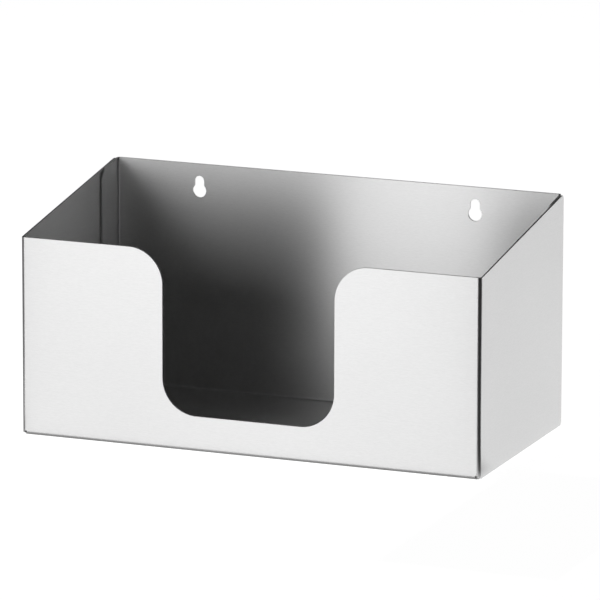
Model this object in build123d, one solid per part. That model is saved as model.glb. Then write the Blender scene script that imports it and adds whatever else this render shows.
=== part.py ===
# Paper towel dispenser folded from one blank of stainless steel sheet.
#
# An open-topped tray takes a stack of folded towels. Its front is lower than its back, the
# side panels slope between the two, and a wide cut-out in the front lets a hand reach the
# towels. The bottom lies in the middle of the blank. Front and back fold up from it, each
# side panel folds back from the front, and two flanges fold forward from the back, lie
# against the insides of the side panels and are spot welded to them.
#
# Millimetres. X runs along the width, Y from the front (-Y) to the wall behind (+Y), Z up.
# The origin is on the underside, at the middle of the width and the depth.

from build123d import *

import os

# Outer size
width = 270.0
depth = 132.0
back_height = 132.0
front_height = 112.0

# Sheet and its bends
sheet = 1.0
inner_bend_radius = 1.2

# Cut-out in the front
cutout_width = 101.0
cutout_sill_height = 20.0
cutout_corner_radius = 20.0

# Side panels
side_edge_clearance = 0.4
side_corner_radius = 2.5

# Flanges of the back, welded inside the side panels
flange_length = 24.0
flange_corner_radius = 8.0
flange_lift = 1.0
flange_gap = 0.15
weld_diameter = 5.0
weld_depth = 0.5
weld_end_distance = 18.0
weld_count = 3

# Reliefs where a fold of the front meets the fold below it
side_fold_lift = 1.1
relief_diameter = 1.6

# Keyholes in the back, for two wall screws
keyhole_spacing = 166.0
keyhole_drop = 15.5
keyhole_head_diameter = 8.0
keyhole_shank_width = 5.5
keyhole_travel = 5.7

# How far a cutting shape runs past what it cuts, to each side
past = 5.0

# Worked out from the sizes above
outer_bend_radius = inner_bend_radius + sheet
front_face = -depth / 2
back_face = depth / 2
side_inner_face = width / 2 - sheet
flange_outer_face = side_inner_face - flange_gap
flange_front = back_face - flange_length
flange_bottom = outer_bend_radius + flange_lift
keyhole_height = back_height - keyhole_drop
front_flat_half = width / 2 - outer_bend_radius
back_flat_half = flange_outer_face - outer_bend_radius
slope_start = front_face + outer_bend_radius
slope_end = back_face - sheet
slope = (back_height - front_height) / (slope_end - slope_start)


def top_height(y):
    """Height of the sloping top edge above the underside."""
    return front_height + slope * (y - slope_start)


def bent_strip(plane, corners, start, length):
    """Sheet with its middle line through some corners of a plane, extruded along its normal."""
    middle_line = FilletPolyline(*corners, radius=inner_bend_radius + sheet / 2)
    section = plane.offset(start) * trace(middle_line, line_width=sheet)
    return extrude(section, amount=length, dir=plane.z_dir)


def bottom_strip():
    """Bottom panel and the quarter bends that turn up into the front and the back."""
    front_middle = front_face + sheet / 2
    back_middle = back_face - sheet / 2
    corners = [
        (front_middle, outer_bend_radius),
        (front_middle, sheet / 2),
        (back_middle, sheet / 2),
        (back_middle, flange_bottom),
    ]
    strip = bent_strip(Plane.YZ, corners, -flange_outer_face, 2 * flange_outer_face)
    outline = Rectangle(2 * flange_outer_face, depth - 2 * outer_bend_radius)
    outline += Pos(0, front_face / 2) * Rectangle(2 * front_flat_half, depth / 2)
    outline += Pos(0, back_face / 2) * Rectangle(2 * back_flat_half, depth / 2)
    return strip & extrude(outline, amount=flange_bottom)


def cutout_outline():
    """Cut-out of the front, seen from the front, with rounded shoulders and a rounded floor."""
    half = cutout_width / 2
    shoulder = half + cutout_corner_radius + past
    edge = FilletPolyline(
        (-shoulder, front_height),
        (-half, front_height),
        (-half, cutout_sill_height),
        (half, cutout_sill_height),
        (half, front_height),
        (shoulder, front_height),
        radius=cutout_corner_radius,
    )
    lid = Polyline(
        (shoulder, front_height),
        (shoulder, front_height + past),
        (-shoulder, front_height + past),
        (-shoulder, front_height),
    )
    return make_face([*edge.edges(), *lid.edges()])


def side_outline():
    """Side panel seen from the side, with its top edge rising to the back."""
    rear = back_face - side_edge_clearance
    step = slope_start + relief_diameter / 2
    outline = make_face(
        Polyline(
            (front_face, side_fold_lift),
            (step, side_fold_lift),
            (step, side_edge_clearance),
            (rear, side_edge_clearance),
            (rear, top_height(rear)),
            (slope_start, front_height),
            (front_face, front_height),
            close=True,
        )
    )
    rear_corners = outline.vertices().group_by(Axis.X)[-1]
    return fillet(rear_corners, side_corner_radius)


def front_strip():
    """Front panel with its cut-out and the two side panels that fold back from it."""
    side_middle = width / 2 - sheet / 2
    front_middle = front_face + sheet / 2
    corners = [
        (-side_middle, back_face),
        (-side_middle, front_middle),
        (side_middle, front_middle),
        (side_middle, back_face),
    ]
    strip = bent_strip(Plane.XY, corners, 0, back_height + past)
    strip &= extrude(Plane.YZ * side_outline(), amount=width, both=True)
    foot = Rectangle(2 * front_flat_half, 2 * outer_bend_radius)
    for outline in (cutout_outline(), foot):
        strip -= extrude(Plane.XZ.offset(-front_face) * outline, amount=past, both=True)
    return strip


def flange_outline():
    """Flange seen from the side, under the same slope as the side panel, round at the front."""
    outline = make_face(
        Polyline(
            (flange_front, flange_bottom),
            (back_face, flange_bottom),
            (back_face, back_height),
            (slope_end, back_height),
            (flange_front, top_height(flange_front)),
            close=True,
        )
    )
    front_corners = outline.vertices().group_by(Axis.X)[0]
    return fillet(front_corners, flange_corner_radius)


def keyhole_outline():
    """Round hole for a screw's head with a slot above it for the shank."""
    head = Circle(keyhole_head_diameter / 2)
    slot = Pos(0, keyhole_travel / 2) * SlotCenterToCenter(
        keyhole_travel, keyhole_shank_width, rotation=90
    )
    return head + slot


def back_strip():
    """Back panel with its keyholes and the two flanges that fold forward from it."""
    flange_middle = flange_outer_face - sheet / 2
    back_middle = back_face - sheet / 2
    corners = [
        (-flange_middle, flange_front),
        (-flange_middle, back_middle),
        (flange_middle, back_middle),
        (flange_middle, flange_front),
    ]
    strip = bent_strip(Plane.XY, corners, flange_bottom, back_height)
    strip &= extrude(Plane.YZ * flange_outline(), amount=width, both=True)
    for side in (-1, 1):
        outline = Pos(side * keyhole_spacing / 2, keyhole_height) * keyhole_outline()
        strip -= extrude(Plane.XZ.offset(-back_face) * outline, amount=past, both=True)
    return strip


def corner_reliefs():
    """Round holes of the blank at the two lower front corners, where two folds meet."""
    middle = (side_fold_lift + outer_bend_radius) / 2
    drill = Cylinder(relief_diameter / 2, 2 * outer_bend_radius, rotation=(90, 0, 0))
    return [Pos(side * front_flat_half, front_face, middle) * drill for side in (-1, 1)]


def spot_welds():
    """Weld nuggets between each flange and its side panel, evenly spaced up the lap."""
    lowest = flange_bottom + weld_end_distance
    highest = top_height(flange_front) - weld_end_distance
    pitch = (highest - lowest) / (weld_count - 1)
    thickness = flange_gap + 2 * weld_depth
    nugget = Cylinder(weld_diameter / 2, thickness, rotation=(0, 90, 0))
    middle = side_inner_face - flange_gap / 2
    y = back_face - flange_length / 2
    return [
        Pos(side * middle, y, lowest + number * pitch) * nugget
        for side in (-1, 1)
        for number in range(weld_count)
    ]


def folded_body():
    """The whole sheet: bottom, front with its sides, back with its flanges, and the welds."""
    body = bottom_strip() + front_strip() + back_strip()
    body -= corner_reliefs()
    body += spot_welds()
    return body


os.makedirs("parts", exist_ok=True)
export_step(folded_body(), "parts/folded_body.step")
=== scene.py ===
# %% [markdown]
# # A paper towel dispenser, folded from one sheet of brushed steel
#
# The real tray is a single piece. A laser cuts a flat blank out of 1 mm stainless sheet, a press
# brake folds it up, and a few spot welds hold the lap at the back corners. This lesson makes it
# in the same order: draw the blank, give it its thickness, break its sharp edges, fold it, and
# then give it a brushed finish and light it.
#
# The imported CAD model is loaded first. It fixes where everything is: X runs along the width,
# Y from the front to the wall, Z up, and the origin is under the middle of the tray.

from math import asin, atan2, cos, degrees, pi, radians, sin, sqrt, tan

import bmesh
import bpy
import numpy as np
from mathutils import Matrix, Vector


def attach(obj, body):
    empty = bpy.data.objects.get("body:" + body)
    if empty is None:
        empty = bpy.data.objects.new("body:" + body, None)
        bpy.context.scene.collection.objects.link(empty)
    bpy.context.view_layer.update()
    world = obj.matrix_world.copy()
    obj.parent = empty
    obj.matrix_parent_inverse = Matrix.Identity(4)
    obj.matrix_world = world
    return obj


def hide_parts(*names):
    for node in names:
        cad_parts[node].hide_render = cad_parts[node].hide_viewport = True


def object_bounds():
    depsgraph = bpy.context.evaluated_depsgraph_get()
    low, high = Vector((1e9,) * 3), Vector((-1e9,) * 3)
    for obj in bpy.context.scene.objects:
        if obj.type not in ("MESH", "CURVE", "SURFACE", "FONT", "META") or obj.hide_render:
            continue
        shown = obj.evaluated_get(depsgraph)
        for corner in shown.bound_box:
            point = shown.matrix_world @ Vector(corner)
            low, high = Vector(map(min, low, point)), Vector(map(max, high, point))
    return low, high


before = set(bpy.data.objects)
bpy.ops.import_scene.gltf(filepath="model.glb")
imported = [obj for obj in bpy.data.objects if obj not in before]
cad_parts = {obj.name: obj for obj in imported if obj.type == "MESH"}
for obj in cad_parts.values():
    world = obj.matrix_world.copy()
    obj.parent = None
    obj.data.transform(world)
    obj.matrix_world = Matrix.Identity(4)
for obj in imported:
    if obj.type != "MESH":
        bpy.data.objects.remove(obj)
cad_low, cad_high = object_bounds()
print("nodes of the CAD model:", len(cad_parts))
print("CAD box in mm:", [round(1000 * x, 2) for x in (*cad_low, *cad_high)])

# %% [markdown]
# ## The sizes
#
# A folded part has two kinds of size: those of the finished tray, which anyone can measure, and
# those of the flat blank, which follow from them. The finished sizes come first, in metres. The
# width, the depth and the height of the back are read from the loaded model, so the two can't
# drift apart.

# %% Sizes of the finished tray
MM = 0.001
half_width = cad_high.x
front_face = cad_low.y
back_face = cad_high.y
back_height = cad_high.z
front_height = 112 * MM

sheet = 1.0 * MM
bend_radius = 2.2 * MM  # outside of a bend
slope_start = front_face + bend_radius
slope_end = back_face - sheet
slope = (back_height - front_height) / (slope_end - slope_start)


def top_height(y):
    """Height of the sloping top edge at a depth y."""
    return front_height + slope * (y - slope_start)


print("slope of the side panels:", round(degrees(atan2(slope, 1)), 2), "degrees")

# %% [markdown]
# ## From the tray to the blank
#
# On the blank, `u` runs along the width and `v` from front to back, and the bottom panel lies in
# the middle. A quarter bend uses up an arc of sheet. So a point of the front panel at height z
# lies beyond the front fold by that arc and what is left of z. The model here is the outside
# skin of the sheet, so the arc is a quarter circle of the outside radius. Four small functions
# turn a height or a depth of the tray into a place on the blank.

# %% Places on the blank
arc = bend_radius * pi / 2
front_fold = back_face - bend_radius  # both folds of the bottom lie this far from the middle
side_fold = half_width - bend_radius
lap_gap = 0.15 * MM  # between a side panel and the flange inside it
flange_face = half_width - sheet - lap_gap
flange_fold = flange_face - bend_radius


def back_v(z):
    """Place of a height on the back panel."""
    return front_fold + arc + (z - bend_radius)


def front_v(z):
    """Place of a height on the front panel or a side panel."""
    return -back_v(z)


def side_u(y):
    """Place of a depth on the side panel, which folds back from the front."""
    return side_fold + arc + (y - slope_start)


def flange_u(y):
    """Place of a depth on the flange, which folds forward from the back."""
    return flange_fold + arc + (back_face - bend_radius - y)


blank_size = (2 * side_u(back_face), back_v(back_height) - front_v(front_height))
print("blank in mm:", [round(1000 * x) for x in blank_size])

# %% [markdown]
# ## A pen that draws with extrude and spin
#
# The blank's outline is straight cuts joined by arcs. It could be typed in as a long list of
# points, but nobody can read or change such a list. Instead a pen holds the last corner of a
# bmesh: a straight cut extrudes that corner to a new place, and an arc spins it round a centre.
# `corner` does what a fillet does: it stops short of a corner and spins round it.


# %% The pen
class Pen:
    """Draws one outline: each stroke extrudes or spins the outline's last corner."""

    def __init__(self, drawing, u, v):
        self.drawing = drawing
        self.tip = drawing.verts.new((u, v, 0))

    def line(self, u, v):
        grown = bmesh.ops.extrude_vert_indiv(self.drawing, verts=[self.tip])
        self.tip = grown["verts"][0]
        self.tip.co = (u, v, 0)

    def arc(self, u, v, turn, steps):
        grown = bmesh.ops.spin(
            self.drawing, geom=[self.tip], cent=(u, v, 0), axis=(0, 0, 1), angle=turn, steps=steps
        )
        self.tip = [g for g in grown["geom_last"] if isinstance(g, bmesh.types.BMVert)][0]

    def corner(self, at, towards, radius, steps):
        """Cut towards a corner, and round it on the way to the next point."""
        at, towards = Vector((*at, 0)), Vector((*towards, 0))
        before = (at - self.tip.co).normalized()
        after = (towards - at).normalized()
        turn = atan2(before.cross(after).z, before.dot(after))
        start = at - before * radius * tan(abs(turn) / 2)
        side = Vector((-before.y, before.x, 0)) * (radius if turn > 0 else -radius)
        self.line(start.x, start.y)
        self.arc(start.x + side.x, start.y + side.y, turn, steps)


# %% [markdown]
# ## The outline of the blank
#
# The tray is symmetric, so only the right half is drawn, and the mirror operator makes the left
# half. The pen starts at the middle of the cut-out's floor and runs round the front panel, the
# side panel, the small round relief where two folds meet, the bottom, the flange and the back.
# The relief keeps the sheet from tearing when the front and the side are folded.

# %% The right half of the cut-out
blank = bmesh.new()
cutout_half = 50.5 * MM
cutout_sill = 20 * MM
cutout_radius = 20 * MM

pen = Pen(blank, 0, front_v(cutout_sill))
lower = (cutout_half, front_v(cutout_sill))
shoulder = (cutout_half, front_v(front_height))
pen.corner(lower, shoulder, cutout_radius, steps=24)
pen.corner(shoulder, (side_fold, front_v(front_height)), cutout_radius, steps=24)
print("corners of the cut-out:", len(blank.verts))

# %% The side panel
edge_clearance = 0.4 * MM  # the side panel ends this far short of the wall and of the bench
panel_corner = 2.5 * MM
relief_radius = 0.8 * MM
rear = back_face - edge_clearance
side_top = (side_u(rear), front_v(top_height(rear)))
side_foot = (side_u(rear), front_v(edge_clearance))
side_step = (side_u(slope_start + relief_radius), front_v(edge_clearance))
pen.line(side_u(slope_start), front_v(front_height))
pen.corner(side_top, side_foot, panel_corner, steps=8)
pen.corner(side_foot, side_step, panel_corner, steps=8)
pen.line(*side_step)
print("corners with the side panel:", len(blank.verts))

# %% The relief at the lower front corner
fold_lift = 1.1 * MM  # the side's fold starts this high
relief_u, relief_v = side_fold, front_v((fold_lift + bend_radius) / 2)
into_relief = front_v(fold_lift) - relief_v
relief_reach = sqrt(relief_radius**2 - into_relief**2)
relief_start = atan2(into_relief, relief_reach)
pen.line(side_step[0], front_v(fold_lift))
pen.line(relief_u + relief_reach, front_v(fold_lift))
pen.arc(relief_u, relief_v, -(3 * pi / 2 + relief_start), steps=20)
print("corners with the relief:", len(blank.verts))

# %% The bottom, the flange and the back
flange_length = 24 * MM
flange_lift = 1.0 * MM  # above the bend of the bottom
flange_corner = 8 * MM
flange_front = back_face - flange_length
flange_bottom = bend_radius + flange_lift
flange_foot = (flange_u(flange_front), back_v(flange_bottom))
flange_head = (flange_u(flange_front), back_v(top_height(flange_front)))
flange_root = (flange_u(back_face - bend_radius), back_v(top_height(back_face - bend_radius)))
level_turn = asin((bend_radius - sheet) / bend_radius)  # the top edge stays level this far round
pen.line(relief_u, -front_fold)
pen.line(flange_face, -front_fold)
pen.line(flange_face, front_fold)
pen.line(flange_fold, front_fold)
pen.line(flange_fold, back_v(flange_bottom))
pen.corner(flange_foot, flange_head, flange_corner, steps=16)
pen.corner(flange_head, flange_root, flange_corner, steps=16)
pen.line(*flange_root)
pen.line(flange_fold + bend_radius * level_turn, back_v(back_height))
pen.line(0, back_v(back_height))
print("corners of the right half:", len(blank.verts))

# %% [markdown]
# ## The keyholes
#
# The screw's head goes through the round hole, and the tray then drops until the shank sits at
# the top of the slot. Each keyhole is one closed outline of its own inside the big one. Mirror
# then makes the left half of both, and the two halves are merged where they meet.

# %% Draw a keyhole and mirror everything
keyhole_spacing, keyhole_height = 166 * MM, 116.5 * MM
key_u, key_v = keyhole_spacing / 2, back_v(keyhole_height)
head_radius, slot_half, travel = 4 * MM, 2.75 * MM, 5.7 * MM
slot_foot = sqrt(head_radius**2 - slot_half**2)
slot_turn = atan2(slot_foot, slot_half)

pen = Pen(blank, key_u + slot_half, key_v + slot_foot)
pen.line(key_u + slot_half, key_v + travel)
pen.arc(key_u, key_v + travel, pi, steps=16)
pen.line(key_u - slot_half, key_v + slot_foot)
pen.arc(key_u, key_v, pi + 2 * slot_turn, steps=28)

touching = 1e-6  # corners within a thousandth of a millimetre are the same corner
everything = blank.verts[:] + blank.edges[:]
bmesh.ops.mirror(blank, geom=everything, axis="X", merge_dist=touching)
bmesh.ops.remove_doubles(blank, verts=blank.verts[:], dist=touching)
print("whole outline:", len(blank.verts), "corners and", len(blank.edges), "edges")

# %% [markdown]
# ## Fill, thicken and break the edges
#
# `triangle_fill` fills the big outline and leaves the keyholes open. Extruding that face by the
# sheet's thickness gives a real plate with cut edges. A laser leaves those edges sharp, and the
# maker breaks them by a tenth of a millimetre so that nobody is cut. That small bevel also
# catches a thin line of light, which is what makes a sheet edge look like metal.

# %% Fill and thicken
bmesh.ops.triangle_fill(
    blank, use_beauty=True, use_dissolve=True, edges=blank.edges[:], normal=(0, 0, 1)
)
grown = bmesh.ops.extrude_face_region(blank, geom=blank.faces[:])
raised = [g for g in grown["geom"] if isinstance(g, bmesh.types.BMVert)]
bmesh.ops.translate(blank, verts=raised, vec=(0, 0, sheet))
bmesh.ops.recalc_face_normals(blank, faces=blank.faces[:])
volume = blank.calc_volume(signed=True)
print("plate:", len(blank.faces), "faces,", round(volume * 1e9), "cubic mm")

# %% Break the sharp edges
edge_break = 0.12 * MM


def is_sharp(edge):
    """Whether a level edge has the upright wall of a cut beside it."""
    one, other = edge.verts
    level = abs(one.co.z - other.co.z) < touching
    return level and any(abs(face.normal.z) < 0.5 for face in edge.link_faces)


sharp = [edge for edge in blank.edges if is_sharp(edge)]
bmesh.ops.bevel(
    blank, geom=sharp, offset=edge_break, offset_type="OFFSET", segments=2, profile=0.5,
    affect="EDGES", clamp_overlap=False, material=-1,
)
print("edges broken:", len(sharp), "; faces now", len(blank.faces))

# %% [markdown]
# ## Cut the plate where it will bend
#
# A mesh bends only where it has edges. `bisect_plane` cuts clean lines through the plate without
# changing its shape. Each bend gets twelve strips, so a strip turns by seven and a half degrees.
# The folds of the sides cut only the front part, and the folds of the flanges only the back.

# %% Bend lines
strips = 12
on_line = 1e-8  # a corner this close to a line lies on it


def cut(part, point, across):
    """Cut the chosen part of the plate along a straight line."""
    faces = [f for f in blank.faces if part(f.calc_center_median())]
    edges = {e for f in faces for e in f.edges}
    corners = {c for f in faces for c in f.verts}
    bmesh.ops.bisect_plane(
        blank, geom=[*corners, *edges, *faces], dist=on_line, plane_co=point, plane_no=across
    )


bend_lines = [arc * number / strips for number in range(strips + 1)]
for along in bend_lines:
    for side in (-1, 1):
        cut(lambda c: True, (0, side * (front_fold + along), 0), (0, 1, 0))
for along in bend_lines:
    for side in (-1, 1):
        cut(lambda c: c.y < -front_fold, (side * (side_fold + along), 0, 0), (1, 0, 0))
        cut(lambda c: c.y > front_fold, (side * (flange_fold + along), 0, 0), (1, 0, 0))
print("faces after the bend lines:", len(blank.faces))

# %% [markdown]
# ## Keep the blank's coordinates
#
# The grain was brushed into the flat sheet, so it must follow the sheet round its bends. Each
# corner keeps its place on the blank as an attribute, and the material reads that instead of the
# place in the room. The flat plate's shading normals are kept too: smooth round the arcs of the
# outline and flat on the sheet's two skins. They are bent with the sheet and then shade it
# exactly.

# %% From bmesh to mesh, with its blank coordinates
tray_mesh = bpy.data.meshes.new("folded_sheet")
blank.to_mesh(tray_mesh)
blank.free()
place = np.zeros(len(tray_mesh.vertices) * 3, np.float32)
tray_mesh.vertices.foreach_get("co", place)
tray_mesh.attributes.new("blank", "FLOAT_VECTOR", "POINT").data.foreach_set("vector", place)
place = place.reshape(-1, 3).astype(float)
on_u, on_v = np.abs(place[:, 0]), place[:, 1].copy()

# %% The plate's shading normals
round_below = radians(20)  # every step of an arc turns by less than this
tray_mesh.polygons.foreach_set("use_smooth", [True] * len(tray_mesh.polygons))
tray_mesh.set_sharp_from_angle(angle=round_below)
facing = np.zeros(len(tray_mesh.loops) * 3, np.float32)
tray_mesh.corner_normals.foreach_get("vector", facing)
facing = facing.reshape(-1, 3).astype(float)
owner = np.zeros(len(tray_mesh.loops), np.int32)
tray_mesh.loops.foreach_get("vertex_index", owner)
print("corners:", len(place), "; loops:", len(facing))

# %% [markdown]
# ## Fold it
#
# A fold leaves everything before the line, rolls the next stretch round the bend's radius, and
# carries the rest along, turned by a quarter. The rule also holds for what already stands up from
# the sheet, so the sides are folded first and the front carries them up with it. A point inside
# the sheet is closer to the bend's centre, so the inside of the bend gets its smaller radius by
# itself. The lower edges of the sides and flanges aren't held by the fold of the bottom: they
# are `stiff` and only turn.


# %% The fold
def fold(across, line, part, stiff=None):
    """Turn up by a quarter what lies beyond a line of the sheet, round the bend's radius."""
    across, up = np.array(across, float), np.array((0.0, 0.0, 1.0))
    beyond = place @ across - line
    turn = np.clip(beyond / bend_radius, 0, pi / 2)
    if stiff is not None:
        turn = np.where(stiff, pi / 2, turn)
    turn = np.where(part, turn, 0)
    height = place @ up
    left = beyond - bend_radius * turn
    outwards = (bend_radius - height) * np.sin(turn) + left * np.cos(turn)
    upwards = bend_radius - (bend_radius - height) * np.cos(turn) + left * np.sin(turn)
    place[:] += np.outer(outwards - beyond, across) + np.outer(upwards - height, up)
    turned = turn[owner]
    out_part, up_part = facing @ across, facing @ up
    new_out = out_part * np.cos(turned) - up_part * np.sin(turned)
    new_up = out_part * np.sin(turned) + up_part * np.cos(turned)
    facing[:] += np.outer(new_out - out_part, across) + np.outer(new_up - up_part, up)


in_front, behind = on_v < -front_fold - touching, on_v > front_fold + touching
side_part = in_front & (on_u > side_fold + touching)
flange_part = behind & (on_u > flange_fold + touching)
for side in (-1, 1):
    this_side = place[:, 0] * side > 0
    fold((side, 0, 0), side_fold, side_part & this_side)
    fold((side, 0, 0), flange_fold, flange_part & this_side)
fold((0, -1, 0), front_fold, in_front, stiff=side_part)
fold((0, 1, 0), front_fold, behind, stiff=flange_part)

tray_mesh.vertices.foreach_set("co", place.astype(np.float32).ravel())
tray_mesh.update()
tray_mesh.normals_split_custom_set(facing.tolist())
tray = bpy.data.objects.new("folded_sheet", tray_mesh)
bpy.context.scene.collection.objects.link(tray)
print("folded box in mm:", (place.min(0) * 1000).round(2), (place.max(0) * 1000).round(2))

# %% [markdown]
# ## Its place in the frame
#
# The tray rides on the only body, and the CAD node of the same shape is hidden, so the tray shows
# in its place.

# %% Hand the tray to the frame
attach(tray, "root")
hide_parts("folded_body")


# %% [markdown]
# ## Shader maths in Python
#
# A brushed finish is arithmetic on a few noises. Written as nodes that is hard to read, so one
# small class wraps a socket and lets Python's operators add the Math nodes. Every other kind of
# node comes from one method, which sets the node's own settings first and then its sockets.


# %% A socket that can do arithmetic
class Wire:
    """A node's output, which adds a Math node when it is used in arithmetic."""

    def __init__(self, tree, socket):
        self.tree, self.socket = tree, socket

    @classmethod
    def node(cls, tree, kind, settings=None, inputs=None, output=0):
        made = tree.nodes.new(kind)
        for name, value in (settings or {}).items():
            setattr(made, name, value)
        for name, value in (inputs or {}).items():
            if isinstance(value, Wire):
                tree.links.new(value.socket, made.inputs[name])
            else:
                made.inputs[name].default_value = value
        return cls(tree, made.outputs[output] if made.outputs else None)

    def maths(self, operation, *others):
        values = dict(enumerate((self, *others)))
        return self.node(self.tree, "ShaderNodeMath", {"operation": operation}, values)

    def __add__(self, other):
        return self.maths("ADD", other)

    def __sub__(self, other):
        return self.maths("SUBTRACT", other)

    def __rsub__(self, other):
        return self.maths("MULTIPLY", -1) + other

    def __mul__(self, other):
        return self.maths("MULTIPLY", other)

    __radd__, __rmul__ = __add__, __mul__


# %% [markdown]
# ## The brushed finish
#
# A belt drags fine grit along the sheet and leaves short parallel scratches. Each reflects light
# like a tiny mirror trough, so highlights spread across the grain and stay narrower along it. The
# steel's two Anisotropic inputs make that spread.
#
# The scratches here are stretched noise on the blank's coordinates, far longer along `u` than
# along `v`. They make the steel a percent or two lighter or darker, vary the roughness a little,
# and tip the surface with a faint bump. Most of what is seen of them is the change of shade,
# because a strong change of roughness looks like loose fibres on the metal.

# %% The grain of the sheet
steel = bpy.data.materials.new("brushed_stainless")
steel.use_nodes = True
nodes = steel.node_tree
nodes.nodes.clear()

on_blank = Wire.node(nodes, "ShaderNodeAttribute", {"attribute_name": "blank"}, output="Vector")


def grain(length, width, detail, seed):
    """Scratches of about that length along the sheet and that width across it, from 0 to 1."""
    stretched = Wire.node(
        nodes, "ShaderNodeMapping", {"vector_type": "POINT"},
        {
            "Vector": on_blank,
            "Scale": (1 / length, 1 / width, 1 / width),
            "Location": (seed, 2 * seed, 3 * seed),
        },
    )
    return Wire.node(
        nodes, "ShaderNodeTexNoise", {},
        {"Vector": stretched, "Scale": 1, "Detail": detail, "Roughness": 0.6},
    )


fine = grain(2.0 * MM, 0.20 * MM, detail=2, seed=3.1)
streaks = grain(2.6 * MM, 0.40 * MM, detail=2, seed=5.9)
long_scratches = grain(14 * MM, 0.5 * MM, detail=2, seed=7.7)
cloudy = grain(90 * MM, 60 * MM, detail=1, seed=1.3)
print("nodes in the grain:", len(nodes.nodes))

# %% Brushed stainless steel
plain_roughness, plain_shade = 0.39, 0.795
bump_strength, bump_height = 0.02, 0.02 * MM
polished = Wire.node(
    nodes, "ShaderNodeMapRange", {"interpolation_type": "SMOOTHSTEP"},
    {"Value": fine, "From Min": 0.40, "From Max": 0.80, "To Min": 0.0, "To Max": 1.0},
)
roughness = plain_roughness - polished * 0.05 + (cloudy - 0.5) * 0.03
shade = plain_shade + (streaks - 0.5) * 0.10 + (long_scratches - 0.5) * 0.03
colour = Wire.node(
    nodes, "ShaderNodeCombineColor", {"mode": "RGB"},
    {"Red": shade, "Green": shade, "Blue": shade},
)
relief = streaks * 0.6 + long_scratches * 0.4
bumped = Wire.node(
    nodes, "ShaderNodeBump", {},
    {"Height": relief, "Strength": bump_strength, "Distance": bump_height},
)
metal = Wire.node(
    nodes, "ShaderNodeBsdfPrincipled", {},
    {
        "Base Color": colour, "Metallic": 1.0, "Roughness": roughness, "Normal": bumped,
        "Anisotropic": 0.7, "Anisotropic Rotation": 0.25,
    },
)
Wire.node(nodes, "ShaderNodeOutputMaterial", {}, {"Surface": metal})
tray_mesh.materials.append(steel)
print("nodes in the steel:", len(nodes.nodes))

# %% [markdown]
# ## The floor and the room
#
# The floor is plain white paper. It glows for the camera and for reflections, and adds a little
# ordinary white that the tray can shade, so it keeps a soft shadow. The world is white too.

# %% White room and the pieces of the set
scene = bpy.context.scene
scene.view_settings.view_transform = "Standard"
world = bpy.data.worlds.new("white_room")
scene.world = world
world.use_nodes = True
world.node_tree.nodes["Background"].inputs["Color"].default_value = (1, 1, 1, 1)
world.node_tree.nodes["Background"].inputs["Strength"].default_value = 1.0


def part_of_set(name, drawing, paint):
    """Turn a drawing into a piece of the set, which isn't part of the tray."""
    mesh = bpy.data.meshes.new(name)
    drawing.to_mesh(mesh)
    drawing.free()
    mesh.materials.append(paint)
    made = bpy.data.objects.new(name, mesh)
    scene.collection.objects.link(made)
    return made


def flat_card(name, low, high, height, paint):
    """A level card between its left front and its right back corner."""
    drawing = bmesh.new()
    bmesh.ops.create_grid(drawing, x_segments=1, y_segments=1, size=0.5)
    size = (high[0] - low[0], high[1] - low[1], 1)
    bmesh.ops.scale(drawing, verts=drawing.verts[:], vec=size)
    middle = ((low[0] + high[0]) / 2, (low[1] + high[1]) / 2, height)
    bmesh.ops.translate(drawing, verts=drawing.verts[:], vec=middle)
    return part_of_set(name, drawing, paint)


# %% White floor
def paper(name, shadow, white):
    """White paper that glows for the camera and reflections, and keeps a soft shadow."""
    made = bpy.data.materials.new(name)
    made.use_nodes = True
    tree = made.node_tree
    tree.nodes.clear()
    seen = Wire.node(tree, "ShaderNodeLightPath", output="Is Camera Ray")
    for kind in ("Is Glossy Ray", "Is Transmission Ray"):
        seen = seen.maths("MAXIMUM", Wire.node(tree, "ShaderNodeLightPath", output=kind))
    glow_inputs = {"Color": (1, 1, 1, 1), "Strength": seen * (1 - shadow)}
    glow = Wire.node(tree, "ShaderNodeEmission", {}, glow_inputs)
    lit = Wire.node(tree, "ShaderNodeBsdfDiffuse", {}, {"Color": (white, white, white, 1)})
    shown = Wire.node(tree, "ShaderNodeAddShader", {}, {0: glow, 1: lit})
    Wire.node(tree, "ShaderNodeOutputMaterial", {}, {"Surface": shown})
    return made


floor = flat_card("floor", (-8, -8), (8, 8), 0, paper("white_floor", shadow=0.05, white=0.8))
print("floor in metres:", [round(x, 2) for x in floor.dimensions])

# %% [markdown]
# ## A dark room, a soft box and dark cards
#
# Brushed steel has hardly a colour of its own. It shows what stands round it, so a photographer
# lights the room and not the metal. The walls inside the real tray are almost black where they
# mirror the room, so the room here is dark. A low soft box at the left of the camera, brighter
# along its foot, lights the front and the right part of the back, and a dim panel overhead fills
# in the inside.
#
# Dark things close to the tray draw the dark lines along its bends. One card curves round the
# right front corner, a lower one stands at the left, and a mat lies on the floor at each side. A
# grey sheet under the tray is a painted contact shadow, which the steel mirrors as the shade in
# the gap there. The camera sees none of these pieces. They show
# only in the steel, and the picture keeps its white paper.


# %% Room, soft box, cards and panel
def glowing(name, level):
    """Matt surface of an even brightness, where 1 is white."""
    made = bpy.data.materials.new(name)
    made.use_nodes = True
    tree = made.node_tree
    tree.nodes.clear()
    glow = {"Color": (level, level, level, 1), "Strength": 1}
    surface = Wire.node(tree, "ShaderNodeEmission", {}, glow)
    Wire.node(tree, "ShaderNodeOutputMaterial", {}, {"Surface": surface})
    return made


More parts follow.
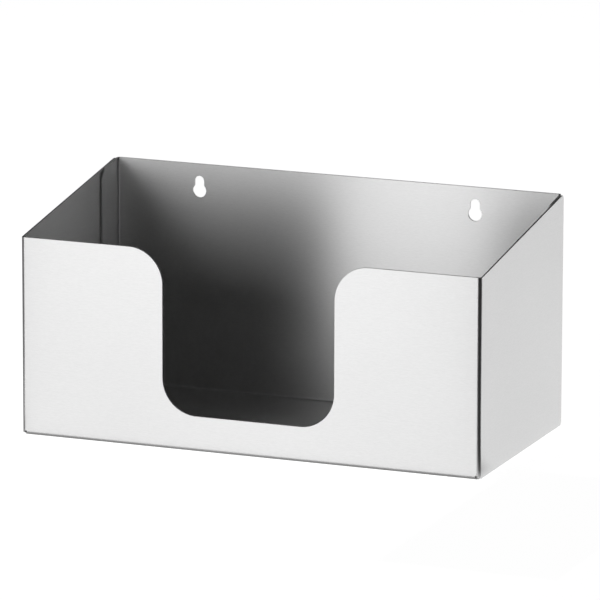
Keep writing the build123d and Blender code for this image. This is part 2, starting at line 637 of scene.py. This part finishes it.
def curved_wall(name, start, end, distance, height, level):
    """A wall that stands on the floor and curves round the tray between two directions.

    Directions are in degrees: 0 is in front of the tray and 90 to its right.
    """
    drawing = bmesh.new()
    foot = Vector((distance * sin(radians(start)), -distance * cos(radians(start)), 0))
    post = [drawing.verts.new(foot), drawing.verts.new(foot + Vector((0, 0, height)))]
    edge = drawing.edges.new(post)
    turn = radians(end - start)
    bmesh.ops.spin(drawing, geom=[*post, edge], axis=(0, 0, 1), angle=turn, steps=16)
    return part_of_set(name, drawing, glowing(name + "_paint", level))


dome = bmesh.new()
bmesh.ops.create_uvsphere(dome, u_segments=32, v_segments=16, radius=3.2)
on_floor = 0.0001  # height of a mat, a tenth of a millimetre above the paper
unseen = [
    part_of_set("dark_room", dome, glowing("dark_room_paint", 0.03)),
    curved_wall("soft_box", -42, -5, distance=1.0, height=0.47, level=1.55),
    curved_wall("low_box", -27, -3, distance=0.98, height=0.15, level=2.1),
    curved_wall("right_card", 24, 85, distance=0.24, height=0.45, level=0.03),
    curved_wall("left_card", 215, 308, distance=0.24, height=0.11, level=0.18),
    # grey sheet under the tray: a painted contact shadow, seen only in the steel's reflections
    flat_card(
        "contact_shadow", (-0.134, -0.069), (0.134, 0.066), on_floor, glowing("gap_paint", 0.3)
    ),
    flat_card("left_mat", (-0.24, -0.08), (-0.138, 0.14), on_floor, glowing("left_paint", 0.18)),
    flat_card("right_mat", (0.142, -0.24), (0.24, -0.035), on_floor, glowing("right_paint", 0.05)),
    flat_card("panel", (-0.7, 0.28), (0.3, 0.85), 1.0, glowing("panel_paint", 0.45)),
]
for piece in unseen:
    piece.visible_camera = False
print("pieces of the set:", len(unseen) + 1)

# %% [markdown]
# ## The camera
#
# The photograph was taken from far away with a long lens, from the right and a little above. The
# camera's place and angles were found by fitting the tray's straight edges to it.

# %% Camera
camera_place = (1.277499, -3.198920, 0.867332)
yaw, pitch, roll = 0.378811, 0.226339, 0.002488
ahead = Vector((-sin(yaw) * cos(pitch), cos(yaw) * cos(pitch), -sin(pitch)))
right = Vector((cos(yaw), sin(yaw), 0))
upward = right.cross(ahead)
right, upward = cos(roll) * right + sin(roll) * upward, cos(roll) * upward - sin(roll) * right
camera = bpy.data.objects.new("camera", bpy.data.cameras.new("camera"))
turned = Matrix((right, upward, -ahead)).transposed().to_4x4()
camera.matrix_world = Matrix.Translation(camera_place) @ turned
camera.data.lens = 383.37
camera.data.sensor_width = 36
camera.data.clip_end = 50
scene.collection.objects.link(camera)
scene.camera = camera
print("camera looks down by", round(degrees(pitch), 1), "degrees")
